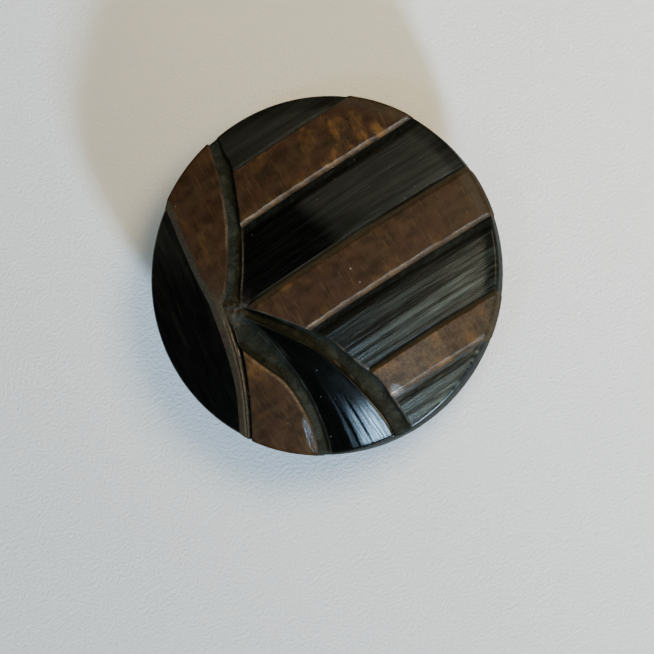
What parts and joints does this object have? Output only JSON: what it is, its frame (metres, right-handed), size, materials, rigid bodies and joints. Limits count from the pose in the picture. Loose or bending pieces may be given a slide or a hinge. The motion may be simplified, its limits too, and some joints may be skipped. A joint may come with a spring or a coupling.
{
  "type": "shank button",
  "caption": "Large domed coat button, carved in a fan of bands and leaves in gloss black and matte brown, with a wire loop on its back to sew through.",
  "frame": {"origin": "on the button's axis at the lowest point of the wire loop, where the thread meets the garment", "axes": "+Z along the button's axis out of the carved front; the wire loop lies in the XZ plane; the carved bands climb to the right, 32.6 degrees from +X towards +Y"},
  "size_m": [0.0378, 0.0379, 0.0116],
  "materials": {
    "black_layer": "polished, with tool marks along the bands",
    "brown_layer": "satin, mottled, fine scratches",
    "brass_wire": "dull",
    "brass_plate": "dull",
    "cement": "rough"
  },
  "bodies": {
    "root": {"black_body": "black_layer", "brown_upper_leaf": "brown_layer", "brown_upper_band": "brown_layer", "brown_middle_band": "brown_layer", "brown_lower_band": "brown_layer", "brown_lower_leaf": "brown_layer", "brown_stem": "brown_layer", "shank_loop": "brass_wire", "shank_plate": "brass_plate", "cement_plug": "cement"}
  },
  "joints": []
}
